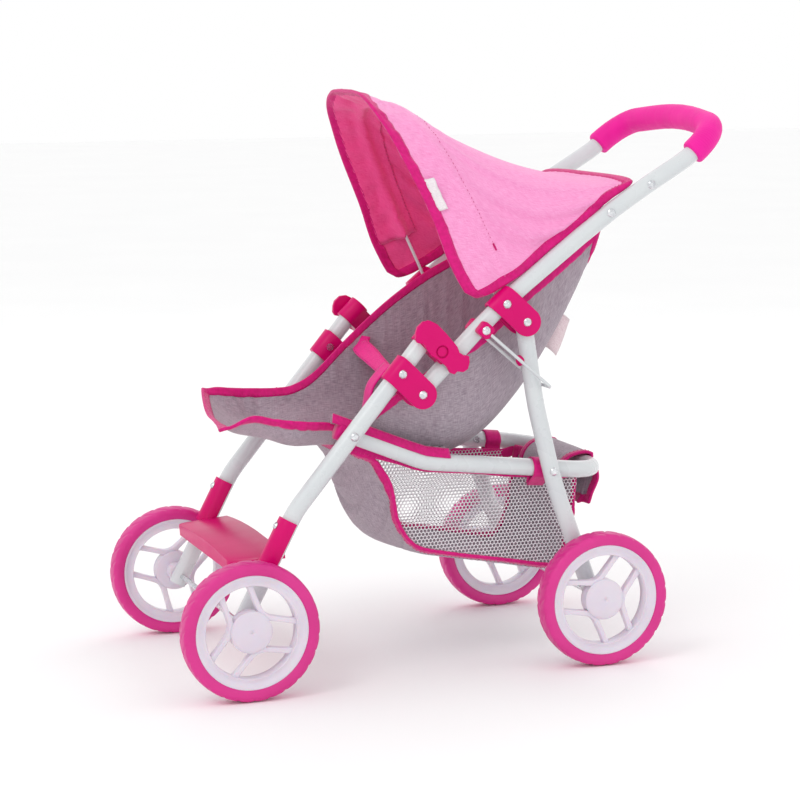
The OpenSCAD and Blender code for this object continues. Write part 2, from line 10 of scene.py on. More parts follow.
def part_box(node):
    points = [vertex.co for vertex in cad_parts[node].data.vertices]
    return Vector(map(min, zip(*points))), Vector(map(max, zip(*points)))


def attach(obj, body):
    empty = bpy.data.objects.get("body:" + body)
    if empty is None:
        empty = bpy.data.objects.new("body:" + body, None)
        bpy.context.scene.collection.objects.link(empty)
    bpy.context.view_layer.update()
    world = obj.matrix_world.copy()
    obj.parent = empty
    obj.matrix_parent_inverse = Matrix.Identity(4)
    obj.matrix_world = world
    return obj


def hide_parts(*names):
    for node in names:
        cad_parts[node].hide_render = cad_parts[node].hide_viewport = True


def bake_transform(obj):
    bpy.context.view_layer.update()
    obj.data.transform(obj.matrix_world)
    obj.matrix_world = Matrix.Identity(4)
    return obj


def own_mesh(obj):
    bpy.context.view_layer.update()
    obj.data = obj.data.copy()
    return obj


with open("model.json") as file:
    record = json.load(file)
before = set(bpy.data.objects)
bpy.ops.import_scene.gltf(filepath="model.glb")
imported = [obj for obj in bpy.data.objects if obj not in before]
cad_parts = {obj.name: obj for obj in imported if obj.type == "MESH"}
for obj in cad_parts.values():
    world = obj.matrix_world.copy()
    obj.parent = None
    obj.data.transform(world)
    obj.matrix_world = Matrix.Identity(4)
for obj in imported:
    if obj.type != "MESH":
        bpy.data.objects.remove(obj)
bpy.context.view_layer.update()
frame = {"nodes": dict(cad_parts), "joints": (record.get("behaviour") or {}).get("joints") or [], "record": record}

scene = bpy.context.scene
JOINTS = {j["name"]: j for j in frame["joints"]}
AXLE = JOINTS["wheel_front_left_spin"]["pos_m"]
MM = 0.001
SIDES = (("left", 1, 0), ("right", -1, -1))     # name, sign of x, and which column of a sheet's grid it is


def at(x, y, z):
    """A point given in millimetres: x from the middle plane, y from the front axle and z from the floor."""
    return np.array([x * MM, AXLE[1] + y * MM, z * MM])


def polar(r, a):
    return np.array([r * math.cos(math.radians(a)), r * math.sin(math.radians(a))])


# ---- Camera, floor and light ----

def make_camera():
    azimuth, elevation, roll = math.radians(70.34), math.radians(8.54), math.radians(-0.34)
    back = Vector((math.sin(azimuth) * math.cos(elevation), -math.cos(azimuth) * math.cos(elevation),
                   math.sin(elevation)))
    right = Vector((0, 0, 1)).cross(back).normalized()
    up = back.cross(right)
    camera = bpy.data.objects.new("camera", bpy.data.cameras.new("camera"))
    scene.collection.objects.link(camera)
    axes = Matrix((right * math.cos(roll) + up * math.sin(roll), up * math.cos(roll) - right * math.sin(roll),
                   back))
    camera.matrix_world = Matrix.Translation((2.1186, -0.7765, 0.5725)) @ axes.transposed().to_4x4()
    camera.data.lens = 108.3
    camera.data.sensor_width = 36
    camera.data.shift_x = -0.005
    camera.data.shift_y = 0.0046
    camera.data.clip_end = 50
    scene.camera = camera


def area_light(name, place, target, size, watts, colour=(1, 1, 1)):
    light = bpy.data.lights.new(name, "AREA")
    light.shape = "DISK"
    light.size = size
    light.energy = watts
    light.color = colour
    lamp = bpy.data.objects.new(name, light)
    lamp.location = place
    lamp.rotation_euler = (Vector(target) - Vector(place)).to_track_quat("-Z", "Y").to_euler()
    scene.collection.objects.link(lamp)


def make_studio():
    world = bpy.data.worlds.new("studio")
    scene.world = world
    world.use_nodes = True
    background = world.node_tree.nodes["Background"].inputs
    background["Color"].default_value = (1, 1, 1, 1)
    background["Strength"].default_value = 1.0
    area_light("key", (1.1, -1.6, 2.2), (0, 0, 0.25), 1.1, 10)
    area_light("rim_light", (-1.6, 1.2, 1.8), (0, 0, 0.3), 1.2, 4)
    area_light("fill", (2.4, 0.9, 0.9), (0, 0, 0.25), 1.6, 1)
    scene.view_settings.view_transform = "Standard"
    half = 12
    corners = [(-half, -half, 0), (half, -half, 0), (half, half, 0), (-half, half, 0)]
    floor = mesh_piece("floor", corners, [(0, 1, 2, 3)])
    mat, bsdf = material("floor", (0.97, 0.97, 0.97), 0.75)
    speckle = noise_node(mat, 3.0, 2.0)
    mix_colours(mat, bsdf, speckle, (0.965, 0.965, 0.967), (0.98, 0.98, 0.98))
    floor.data.materials.append(mat)


# ---- Meshes ----

def mesh_piece(name, points, faces):
    mesh = bpy.data.meshes.new(name)
    mesh.from_pydata([tuple(float(c) for c in p) for p in points], [], [tuple(f) for f in faces])
    mesh.shade_smooth()
    piece = bpy.data.objects.new(name, mesh)
    scene.collection.objects.link(piece)
    return piece


def fix_normals(piece):
    work = bmesh.new()
    work.from_mesh(piece.data)
    bmesh.ops.recalc_face_normals(work, faces=work.faces)
    work.to_mesh(piece.data)
    work.free()
    return piece


def one_material(piece, mat):
    piece.data.materials.clear()
    piece.data.materials.append(mat)
    return piece


def grid_faces(m, n, close_m=False, close_n=False):
    return [(i * n + j, (i + 1) % m * n + j, (i + 1) % m * n + (j + 1) % n, i * n + (j + 1) % n)
            for i in range(m if close_m else m - 1) for j in range(n if close_n else n - 1)]


def lengths(line):
    """Distance along a line of points, starting at 0."""
    return np.concatenate([[0], np.cumsum(np.linalg.norm(np.diff(line, axis=0), axis=1))])


def at_distance(line, s, want):
    """Points of a line at the wanted distances along it, where s is lengths(line)."""
    return np.stack([np.interp(want, s, line[:, k]) for k in range(line.shape[1])], axis=-1)


def resampled(line, count):
    s = lengths(line)
    return at_distance(line, s, np.linspace(0, s[-1], count))


def spline(points, count, fine=24):
    """A smooth line through points, with count points spaced evenly along it."""
    p = np.asarray(points, float)
    p = np.concatenate([[2 * p[0] - p[1]], p, [2 * p[-1] - p[-2]]])
    t = np.linspace(0, 1, fine, endpoint=False)[:, None]
    line = []
    for a, b, c, d in zip(p, p[1:], p[2:], p[3:]):
        line.append(0.5 * (2 * b + (c - a) * t + (2 * a - 5 * b + 4 * c - d) * t ** 2
                           + (3 * b - a - 3 * c + d) * t ** 3))
    return resampled(np.concatenate(line + [[p[-2]]]), count)


def smooth_value(table, x):
    """A smooth curve through a table of (x, value) pairs."""
    xs, ys = np.array(table, float).T
    slopes = np.gradient(ys, xs)
    k = np.clip(np.searchsorted(xs, x) - 1, 0, len(xs) - 2)
    h = xs[k + 1] - xs[k]
    t = np.clip((x - xs[k]) / h, 0, 1)
    return ((1 + 2 * t) * (1 - t) ** 2 * ys[k] + t * (1 - t) ** 2 * h * slopes[k]
            + t * t * (3 - 2 * t) * ys[k + 1] + t * t * (t - 1) * h * slopes[k + 1])


def rounded_path(points, radii, step=5):
    """Straight runs joined by arcs, one radius for each point."""
    p = [np.asarray(q, float) for q in points]
    line = [p[0]]
    for i in range(1, len(p) - 1):
        u = (p[i] - p[i - 1]) / np.linalg.norm(p[i] - p[i - 1])
        v = (p[i + 1] - p[i]) / np.linalg.norm(p[i + 1] - p[i])
        turn = math.acos(float(np.clip(u @ v, -1, 1)))
        to_centre = (v - u) / np.linalg.norm(v - u)
        centre = p[i] + to_centre * radii[i] / math.cos(turn / 2)
        w = (p[i] - u * radii[i] * math.tan(turn / 2) - centre) / radii[i]
        steps = max(3, int(math.degrees(turn) / step))
        for k in range(steps + 1):
            a = turn * k / steps
            line.append(centre + radii[i] * (w * math.cos(a) + u * math.sin(a)))
    return np.array(line + [p[-1]])


def frames_along(line, first=(0.31, 0.27, 0.91)):
    """Directions along a line, and two more square to it, carried along without twist."""
    d = np.gradient(line, axis=0)
    d /= np.linalg.norm(d, axis=1)[:, None]
    a = np.array(first, float)
    side = []
    for t in d:
        a = a - t * (a @ t)
        a /= np.linalg.norm(a)
        side.append(a)
    side = np.array(side)
    return d, side, np.cross(d, side)


def modify(piece, kind, **values):
    modifier = piece.modifiers.new(kind.lower(), kind)
    for key, value in values.items():
        setattr(modifier, key, value)


def set_uv(piece, uv):
    """Writes cloth coordinates in metres, one pair for each vertex."""
    layer = piece.data.uv_layers.new(name="cloth")
    loops = np.zeros(len(piece.data.loops), np.int32)
    piece.data.loops.foreach_get("vertex_index", loops)
    layer.data.foreach_set("uv", uv[loops].astype(np.float32).ravel())


def capped_sweep(name, rings):
    """A skin over rings of points, with both ends closed."""
    m, n = rings.shape[:2]
    faces = grid_faces(m, n, close_n=True)
    faces += [tuple(range(n)), tuple((m - 1) * n + k for k in reversed(range(n)))]
    piece = fix_normals(mesh_piece(name, rings.reshape(-1, 3), faces))
    along = np.repeat(lengths(rings[:, 0]), n)
    around = np.tile(np.linspace(0, 1, n, endpoint=False) * lengths(rings[0])[-1], m)
    set_uv(piece, np.stack([along, around], axis=1))
    return piece


def tube(name, line, radius, sides=16, shape=None):
    """A round rod along a line; shape(k, s) scales the radius at each ring."""
    _, a, b = frames_along(line)
    s = lengths(line)
    angle = np.linspace(0, 2 * math.pi, sides, endpoint=False)
    rings = []
    for i, p in enumerate(line):
        r = radius if shape is None else radius * shape(s[i], s[-1])
        rings.append(p + r * (np.cos(angle)[:, None] * a[i] + np.sin(angle)[:, None] * b[i]))
    return capped_sweep(name, np.array(rings))


# ---- Materials ----

def material(name, colour, roughness, **sockets):
    mat = bpy.data.materials.new(name)
    mat.use_nodes = True
    bsdf = mat.node_tree.nodes["Principled BSDF"]
    bsdf.inputs["Base Color"].default_value = (*colour, 1)
    bsdf.inputs["Roughness"].default_value = roughness
    for socket, value in sockets.items():
        bsdf.inputs[socket.replace("_", " ")].default_value = value
    return mat, bsdf


def link(mat, output, socket):
    mat.node_tree.links.new(output, socket)


def node(mat, kind, **values):
    made = mat.node_tree.nodes.new(kind)
    for key, value in values.items():
        if key in made.inputs:
            made.inputs[key].default_value = value
        else:
            setattr(made, key, value)
    return made


def coords(mat, uv=False, scale=(1, 1, 1)):
    source = node(mat, "ShaderNodeTexCoord")
    mapping = node(mat, "ShaderNodeMapping")
    mapping.inputs["Scale"].default_value = scale
    link(mat, source.outputs["UV" if uv else "Object"], mapping.inputs["Vector"])
    return mapping.outputs["Vector"]


def noise_node(mat, scale, detail=3.0, vector=None, roughness=0.5):
    tex = node(mat, "ShaderNodeTexNoise", Scale=scale, Detail=detail, Roughness=roughness)
    link(mat, vector or coords(mat), tex.inputs["Vector"])
    return tex.outputs["Fac"]


def math_node(mat, operation, a, b=None):
    made = node(mat, "ShaderNodeMath", operation=operation)
    for k, value in enumerate([a] if b is None else [a, b]):
        if isinstance(value, (int, float)):
            made.inputs[k].default_value = value
        else:
            link(mat, value, made.inputs[k])
    return made.outputs[0]


def times(mat, a, b):
    return math_node(mat, "MULTIPLY", a, b)


def plus(mat, a, b):
    return math_node(mat, "ADD", a, b)


def mix_colours(mat, bsdf, factor, low, high, lo=0.3, hi=0.7):
    ramp = node(mat, "ShaderNodeValToRGB")
    ramp.color_ramp.elements[0].position = lo
    ramp.color_ramp.elements[0].color = (*low, 1)
    ramp.color_ramp.elements[1].position = hi
    ramp.color_ramp.elements[1].color = (*high, 1)
    link(mat, factor, ramp.inputs["Fac"])
    link(mat, ramp.outputs["Color"], bsdf.inputs["Base Color"])


def vary_roughness(mat, bsdf, factor, low, high):
    span = node(mat, "ShaderNodeMapRange")
    span.inputs["To Min"].default_value = low
    span.inputs["To Max"].default_value = high
    link(mat, factor, span.inputs["Value"])
    link(mat, span.outputs["Result"], bsdf.inputs["Roughness"])


def bump(mat, bsdf, height, strength, distance):
    made = node(mat, "ShaderNodeBump", Strength=strength, Distance=distance)
    link(mat, height, made.inputs["Height"])
    link(mat, made.outputs["Normal"], bsdf.inputs["Normal"])


def weave_height(mat, vector, pitch):
    """Over and under threads of a plain weave, from cloth coordinates in metres."""
    split = node(mat, "ShaderNodeSeparateXYZ")
    link(mat, vector, split.inputs[0])
    phases = [times(mat, split.outputs[k], 2 * math.pi / pitch) for k in (0, 1)]
    return times(mat, *(math_node(mat, "SINE", phase) for phase in phases))


def cloth_material(name, dark, mid, light, pitch=0.0007, streak=0.007):
    """Melange cloth: threads of mixed colour run both ways, with soft clouds of tone."""
    mat, bsdf = material(name, mid, 0.85, Sheen_Weight=0.25, Sheen_Roughness=0.5, Specular_IOR_Level=0.25)
    warp = noise_node(mat, 1.0, 1.0, coords(mat, True, (1 / pitch, 1 / streak, 1)))
    weft = noise_node(mat, 1.0, 1.0, coords(mat, True, (1 / streak, 1 / pitch, 1)))
    cloud = noise_node(mat, 22.0, 2.0, coords(mat, True))
    threads = plus(mat, times(mat, warp, 0.55), times(mat, weft, 0.35))
    mix_colours(mat, bsdf, plus(mat, threads, times(mat, cloud, 0.10)), dark, light, 0.36, 0.64)
    weave = weave_height(mat, coords(mat, True), pitch)
    bump(mat, bsdf, plus(mat, weave, times(mat, warp, 1.5)), 0.35, 0.0002)
    return mat


RIB_PITCH = 0.0009      # metres between the ribs of binding tape


def tape_material(name, dark, light):
    """Binding tape: fine ribs across, and slightly uneven dye."""
    mat, bsdf = material(name, light, 0.62, Sheen_Weight=0.3, Sheen_Roughness=0.4, Specular_IOR_Level=0.3)
    split = node(mat, "ShaderNodeSeparateXYZ")
    link(mat, coords(mat, True), split.inputs[0])
    rib = math_node(mat, "SINE", times(mat, split.outputs[0], 2 * math.pi / RIB_PITCH))
    tone = noise_node(mat, 260.0, 2.0, coords(mat, True))
    mix_colours(mat, bsdf, tone, dark, light, 0.35, 0.7)
    bump(mat, bsdf, plus(mat, rib, times(mat, tone, 1.2)), 0.4, 0.00018)
    return mat


def varied_material(name, colour, roughness, tone, gloss, grain, **sockets):
    """Tone, gloss and bump from noise: each has the noise's scale and detail, then its limits or depth."""
    mat, bsdf = material(name, colour, roughness, **sockets)
    mix_colours(mat, bsdf, noise_node(mat, *tone[:2]), *tone[2:])
    vary_roughness(mat, bsdf, noise_node(mat, *gloss[:2]), *gloss[2:])
    bump(mat, bsdf, noise_node(mat, *grain[:2]), *grain[2:])
    return mat


def plastic_material(name, low, high, roughness=(0.26, 0.36), grain=900.0, grain_depth=0.00004, **sockets):
    """Moulded plastic: faint cloudy tone, uneven gloss and a fine moulded grain."""
    return varied_material(name, high, roughness[0], (24.0, 3.0, low, high), (60.0, 4.0, *roughness),
                           (grain, 2.0, 0.25, grain_depth), **sockets)


def net_material():
    mat, bsdf = material("net", (0.74, 0.72, 0.75), 0.6, Sheen_Weight=0.2)
    tone = noise_node(mat, 900.0, 2.0)
    mix_colours(mat, bsdf, tone, (0.68, 0.66, 0.69), (0.80, 0.78, 0.81))
    bump(mat, bsdf, tone, 0.3, 0.00008)
    return mat


# Gloss white powder coat with a faint orange peel, and bright rivets
WHITE = varied_material("white_tube", (0.64, 0.67, 0.69), 0.28,
                        (30.0, 3.0, (0.62, 0.65, 0.67), (0.66, 0.69, 0.70)), (45.0, 4.0, 0.22, 0.34),
                        (420.0, 2.0, 0.2, 0.00005), Coat_Weight=0.4, Coat_Roughness=0.08)
ZINC = varied_material("zinc", (0.72, 0.73, 0.76), 0.25, (350.0, 3.0, (0.55, 0.57, 0.60), (0.85, 0.86, 0.88)),
                       (500.0, 3.0, 0.16, 0.36), (900.0, 2.0, 0.3, 0.00003), Metallic=1.0)
PINK = plastic_material("pink_plastic", (0.62, 0.0, 0.138), (0.68, 0.0, 0.155), Specular_IOR_Level=0.18)
MILKY = plastic_material("rim_plastic", (0.70, 0.63, 0.72), (0.76, 0.70, 0.78), (0.3, 0.42),
                         Subsurface_Weight=0.25, Subsurface_Scale=0.004)
TYRE = plastic_material("tyre_foam", (0.62, 0.015, 0.22), (0.70, 0.022, 0.26), (0.34, 0.48),
                        grain=1500.0, grain_depth=0.00006)
# Closed-cell foam: a matt skin with tiny cells
FOAM = varied_material("grip_foam", (0.86, 0.012, 0.34), 0.55,
                       (35.0, 3.0, (0.80, 0.010, 0.31), (0.90, 0.014, 0.36)), (80.0, 3.0, 0.48, 0.62),
                       (1400.0, 3.0, 0.35, 0.00008),
                       Sheen_Weight=0.05, Sheen_Roughness=0.5, Specular_IOR_Level=0.2)
GREY = cloth_material("grey_cloth", (0.29, 0.235, 0.28), (0.40, 0.33, 0.385), (0.52, 0.44, 0.50))
ROSE = cloth_material("pink_cloth", (0.90, 0.27, 0.56), (0.95, 0.33, 0.63), (1.0, 0.42, 0.72))
# The canopy's inner face: the same pink cloth as outside, made deeper and more saturated as painted shade and
# painted light shining through the cloth
ROSE_INNER_SHADE = cloth_material("pink_cloth_inner_shade", (0.90, 0.06, 0.27), (0.95, 0.085, 0.32), (1.0, 0.12, 0.38))
TAPE = tape_material("pink_tape", (0.62, 0.0, 0.17), (0.74, 0.002, 0.22))
THREAD = tape_material("pink_thread", (0.54, 0.0, 0.14), (0.66, 0.0, 0.19))
LABEL = cloth_material("label_cloth", (0.80, 0.72, 0.76), (0.88, 0.82, 0.85), (0.93, 0.88, 0.90),
                       pitch=0.0005, streak=0.004)
TAG = cloth_material("tag_cloth", (0.74, 0.56, 0.60), (0.82, 0.66, 0.70), (0.90, 0.78, 0.81),
                     pitch=0.0005, streak=0.004)
WEB = tape_material("pink_webbing", (0.84, 0.008, 0.26), (0.92, 0.012, 0.30))
NET = net_material()

BY_SLOT = {"white_tube": WHITE, "zinc": ZINC, "pink_plastic": PINK, "rim_plastic": MILKY, "tyre_foam": TYRE,
           "grip_foam": FOAM, "grey_cloth": GREY, "pink_cloth": ROSE, "pink_tape": TAPE}
SLOT_OF = {s["node"]: s["material_slot"] for s in frame["record"]["subparts"]}


def finish_cad_nodes():
    """Gives every CAD node its material, smooth shading and, on plastic, soft moulded edges."""
    for name, obj in frame["nodes"].items():
        slot = SLOT_OF[name]
        one_material(obj, BY_SLOT[slot])
        modify(obj, "WELD", merge_threshold=0.00002)
        obj.data.shade_smooth()
        if slot == "pink_plastic":
            modify(obj, "DECIMATE", decimate_type="DISSOLVE", angle_limit=math.radians(1.5))
            modify(obj, "BEVEL", width=0.0016 if name.startswith("latch_lever") else 0.0008, segments=3,
                   limit_method="ANGLE", angle_limit=math.radians(40), harden_normals=True)
        else:
            modify(obj, "EDGE_SPLIT", split_angle=math.radians(38))


# ---- Cloth ----

def normals_of(grid):
    n = np.cross(np.gradient(grid, axis=0), np.gradient(grid, axis=1))
    return n / np.maximum(np.linalg.norm(n, axis=2), 1e-12)[..., None]


def grid_uv(grid):
    """Cloth coordinates in metres: distance along the middle column, and across each row."""
    n = grid.shape[1]
    along = lengths(grid[:, n // 2])
    across = np.array([lengths(row) - lengths(row)[-1] / 2 for row in grid])
    return np.stack([across, np.repeat(along[:, None], n, axis=1)], axis=2).reshape(-1, 2)


CLOTH_FRAMES = 18
CLOTH_SETTINGS = {"quality": 8, "mass": 0.2, "tension_stiffness": 25, "compression_stiffness": 10,
                  "shear_stiffness": 5, "bending_stiffness": 0.3}


def edges_held(m, n):
    held = np.zeros((m, n), bool)
    held[[0, -1]] = True
    held[:, [0, -1]] = True
    return held


def settle(grid, held, slack, cap, weight):
    """Lets a sheet with a share of slack fall into folds; held points stay, and none moves past cap."""
    m, n, _ = grid.shape
    work = mesh_piece("settling", grid.reshape(-1, 3), grid_faces(m, n))
    pins = work.vertex_groups.new(name="pins")
    pins.add([int(i) for i in np.flatnonzero(held.ravel())], 1.0, "REPLACE")
    cloth = work.modifiers.new("cloth", "CLOTH")
    for key, value in CLOTH_SETTINGS.items():
        setattr(cloth.settings, key, value)
    cloth.settings.vertex_group_mass = "pins"
    cloth.settings.shrink_min = -slack
    cloth.settings.effector_weights.gravity = weight
    cloth.collision_settings.use_collision = False
    cloth.point_cache.frame_start = 1
    cloth.point_cache.frame_end = CLOTH_FRAMES
    for f in range(1, CLOTH_FRAMES + 1):
        scene.frame_set(f)
    shown = work.evaluated_get(bpy.context.evaluated_depsgraph_get())
    moved = np.zeros(m * n * 3, np.float32)
    shown.data.vertices.foreach_get("co", moved)
    scene.frame_set(1)
    mesh = work.data
    bpy.data.objects.remove(work)
    bpy.data.meshes.remove(mesh)
    step = moved.reshape(m, n, 3).astype(float) - grid
    far = np.linalg.norm(step, axis=2)[..., None]
    return grid + step * np.minimum(1, cap / np.maximum(far, 1e-9))


def sheet_piece(name, grid, outer, inner=None, thick=0.0012):
    """A sheet of cloth with its outer face on the side of the grid's normals."""
    m, n, _ = grid.shape
    piece = mesh_piece(name, grid.reshape(-1, 3), grid_faces(m, n))
    set_uv(piece, grid_uv(grid))
    piece.data.materials.append(outer)
    if inner is not None:
        piece.data.materials.append(inner)
    modify(piece, "SOLIDIFY", thickness=thick, offset=0, material_offset=0 if inner is None else 1)
    return piece


def across_edge(grid, edge):
    """The grid turned so that the named edge is its first column, and the normals with it."""
    normal = normals_of(grid)
    turn = {"left": lambda g: g, "right": lambda g: g[:, ::-1], "start": lambda g: g.transpose(1, 0, 2),
            "end": lambda g: g[::-1].transpose(1, 0, 2)}[edge]
    return turn(grid), turn(normal)


def inside_edge(grid, edge, distance):
    """Points and normals at a distance in from an edge, along the cloth."""
    g, normal = across_edge(grid, edge)
    points, ups = [], []
    for row, up in zip(g, normal):
        s = lengths(row)
        points.append(at_distance(row, s, distance))
        ups.append(at_distance(up, s, distance))
    ups = np.array(ups)
    return np.array(points), ups / np.linalg.norm(ups, axis=1)[:, None]


def binding(name, grid, edge, width=0.0085, thick=0.0014, lap=0.0010, wave=0.0):
    """Tape folded over an edge of a sheet; wave is how unevenly it puffs."""
    shares = (1.0, 0.75, 0.5, 0.25, 0.0)
    lines = [inside_edge(grid, edge, width * s) for s in shares]
    edge_points, inner_points = lines[-1][0], lines[-2][0]
    out = edge_points - inner_points
    out /= np.linalg.norm(out, axis=1)[:, None]
    count = len(edge_points)
    puff = 1 + wave * np.sin(np.arange(count) * 1.9) * np.sin(np.arange(count) * 0.37 + 1)
    lifts = [n * thick * (0.75 if s == 1.0 else 1) * puff[:, None] for (_, n), s in zip(lines, shares)]
    sides = list(zip([p for p, _ in lines], lifts))
    section = [p + lift for p, lift in sides] + [edge_points + out * lap]
    section += [p - lift for p, lift in reversed(sides)]
    rings = np.array(section).transpose(1, 0, 2)
    return one_material(capped_sweep(name, rings), TAPE)


def stitches(name, line, up, size=0.0026, gap=0.0014, thick=0.00032):
    """A row of separate stitches along a line that lies on cloth; up is the cloth's normal."""
    up = np.broadcast_to(up, line.shape)
    s = lengths(line)
    count = int(s[-1] / (size + gap))
    points, faces = [], []
    for k in range(count):
        start = k * (size + gap) + gap / 2
        a, b = (at_distance(line, s, min(e, s[-1])) for e in (start, start + size))
        n = at_distance(up, s, min(start, s[-1]))
        d = b - a
        if np.linalg.norm(d) < 1e-6:
            continue
        d /= np.linalg.norm(d)
        side = np.cross(d, n)
        base = len(points)
        middle = (a + b) / 2
        points += [a - n * thick * 0.4, middle + side * thick + n * thick * 0.3, middle + n * thick * 1.6,
                   middle - side * thick + n * thick * 0.3, middle - n * thick * 0.8, b - n * thick * 0.4]
        ring = [(base + 1 + k, base + 1 + (k + 1) % 4) for k in range(4)]
        faces += [(base, p, q) for p, q in ring] + [(base + 5, q, p) for p, q in ring]
    piece = fix_normals(mesh_piece(name, points, faces))
    set_uv(piece, np.array(points)[:, 1:])
    return one_material(piece, THREAD)


def edge_stitches(name, grid, edge, inset, lift):
    """Stitches along a bound edge; a negative lift puts them on the sheet's other face."""
    line, up = inside_edge(grid, edge, inset)
    return stitches(name, line + up * lift, up * math.copysign(1, lift))


def ribbon(name, line, up, width, thick=0.0016, mat=None, crown=0.0, edges=None):
    """A flat strap along a line: up is the direction of its width, for all of it or at each point."""
    d, _, _ = frames_along(line)
    up = np.asarray(up, float)
    up = up - d * np.sum(up * d, axis=1)[:, None]
    up /= np.linalg.norm(up, axis=1)[:, None]
    face = np.cross(d, up)
    widths = np.full(len(line), width) if edges is None else width * edges
    rings = []
    shares = np.linspace(-0.5, 0.5, 7)
    outline = [(s, thick / 2) for s in shares] + [(s, -thick / 2) for s in shares[::-1]]
    for i, p in enumerate(line):
        rings.append([p + up[i] * widths[i] * s + face[i] * (lift + crown * (1 - 4 * s * s))
                      for s, lift in outline])
    return one_material(capped_sweep(name, np.array(rings)), mat or TAPE)


# ---- Wheels ----

def turned(name, profile, centre, outward, steps, change=None):
    """A closed profile of (radius, place along the axle) pairs turned round the axle."""
    p = np.array(profile, float) * MM
    rings = []
    for k in range(steps):
        a = 2 * math.pi * k / steps
        r = p[:, 0] if change is None else p[:, 0] + change(a, profile) * MM
        rings.append(np.stack([outward * p[:, 1], r * math.cos(a), r * math.sin(a)], axis=1))
    points = np.array(rings).reshape(-1, 3) + np.array(centre)
    return fix_normals(mesh_piece(name, points, grid_faces(steps, len(p), close_m=True, close_n=True)))


TYRE_R, RIM_R, BORE_R = 62.5, 51.3, 2.56
GROOVES, GROOVE_DEPTH = 26, 0.75


def tyre_profile():
    """Half-round shoulders and a nearly flat tread, as (radius, place along the axle)."""
    crown = [(TYRE_R - 0.7 * (x / 8.0) ** 2, x) for x in np.linspace(-7.2, 7.2, 13)]
    shoulder = [(TYRE_R - 5.2 + 4.6 * math.cos(a), 7.2 + 3.3 * math.sin(a))
                for a in np.linspace(0.35, 1.9, 7)]
    bead = [(54.5, 10.2), (52.6, 9.6), (RIM_R, 8.6)]
    side = shoulder + bead
    return crown + side + [(r, -x) for r, x in reversed(side)]


def tread(a, profile):
    """How far the tyre lies in at an angle: leaf-shaped grooves that run over each shoulder."""
    depth = []
    for r, x in profile:
        s = abs(x) / 10.0
        phase = (a * GROOVES / (2 * math.pi) + 0.55 * s + (0.5 if x > 0 else 0)) % 1
        groove = max(0.0, 1 - abs(phase - 0.5) / 0.16)
        zone = max(0.0, min(1.0, (r - 56.5) / 2.5)) * min(1.0, s / 0.15)
        depth.append(-GROOVE_DEPTH * min(1.0, 1.8 * groove) * zone)
    return np.array(depth)


def rounded_rect(half_w, half_h, r, steps=3):
    loop = []
    for cx, cy, start in ((half_w - r, half_h - r, 0), (r - half_w, half_h - r, 90),
                          (r - half_w, r - half_h, 180), (half_w - r, r - half_h, 270)):
        loop += [(cx, cy) + polar(r, start + 90 * k / steps) for k in range(steps + 1)]
    return loop


def spoke(name, centre, outward, turn):
    """One V-shaped spoke: two legs from the rim that run past the hub in one smooth bend."""
    spread, reach, apex, bend = 42, 43.5, 16.6, 15
    ends = [polar(reach, turn - spread), polar(apex, turn), polar(reach, turn + spread)]
    line = rounded_path([np.array([0, *p]) for p in ends], [0, bend, 0], 6)
    line = resampled(line, 26)
    d, _, _ = frames_along(line)
    axle = np.array([1.0, 0, 0])
    side = np.cross(d, axle)
    middle = np.abs(np.linspace(-1, 1, len(line)))
    rings = []
    for p, s, m in zip(line, side, middle):
        half_deep = 3.6 + 1.0 * (1 - m)
        half_wide = 2.1 + 0.9 * m ** 4 + 0.6 * (1 - m) ** 2
        rings.append([(p + axle * (y + 0.6) + s * x) for x, y in rounded_rect(half_wide, half_deep, 1.1)])
    rings = np.array(rings) * MM
    rings[..., 0] *= outward
    return capped_sweep(name, rings + np.array(centre))


def stand_for(piece, node_name, body):
    """Makes a piece ride on a body and show in place of a CAD node."""
    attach(piece, body)
    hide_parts(node_name)


def join(name, pieces):
    """One piece made of several."""
    target = pieces[0]
    bpy.ops.object.select_all(action="DESELECT")
    for p in pieces:
        p.select_set(True)
    bpy.context.view_layer.objects.active = target
    bpy.ops.object.join()
    target.name = name
    target.data.name = name
    return target


def make_wheel(end, side, turn):
    name = f"{end}_{side}"
    joint = JOINTS[f"wheel_{name}_spin"]
    centre, outward = joint["pos_m"], 1 if side == "left" else -1
    body = f"wheel_{name}"
    tyre = turned(f"tyre_{name}_detailed", tyre_profile(), centre, outward, 312, tread)
    tyre.data.materials.append(TYRE)
    stand_for(tyre, f"tyre_{name}", body)

    ring = [(RIM_R, -8.4), (RIM_R, 8.4), (50.2, 8.7), (48.6, 7.6), (46.6, 6.1), (44.6, 5.6), (43.2, 6.2),
            (42.2, 6.6), (41.6, 6.0), (41.6, -6.0), (42.2, -6.6), (43.4, -6.2), (46.6, -6.1), (48.6, -7.6),
            (50.2, -8.7)]
    low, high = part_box(f"rim_{name}")
    inner = min(abs(low[0]), abs(high[0])) / MM - abs(centre[0]) / MM
    boss = [(BORE_R, inner), (8.4, inner), (9, inner + 0.6), (9, -6.4), (18.2, -6.0), (19, -5.3), (19, 2.2),
            (18.4, 3.0), (BORE_R, 3.0)]
    parts = [turned("ring", ring, centre, outward, 120), turned("boss", boss, centre, outward, 72)]
    parts += [spoke(f"spoke_{k}", centre, outward, turn + k * 120) for k in range(3)]
    rim = join(f"rim_{name}_detailed", parts)
    one_material(rim, MILKY)
    rim.data.shade_smooth()
    modify(rim, "EDGE_SPLIT", split_angle=math.radians(50))
    stand_for(rim, f"rim_{name}", body)

    cap_profile = [(0.01, 3.3), (7.0, 3.3), (7.0, 3.05), (18.0, 3.05), (19.0, 3.6), (19.0, 5.6), (18.6, 6.2),
                   (16.0, 7.0), (12.0, 7.8), (8.0, 8.25), (4.0, 8.45), (0.01, 8.5)]
    cap = turned(f"hub_cap_{name}_detailed", cap_profile, centre, outward, 72)
    cap.data.materials.append(MILKY)
    stand_for(cap, f"hub_cap_{name}", body)


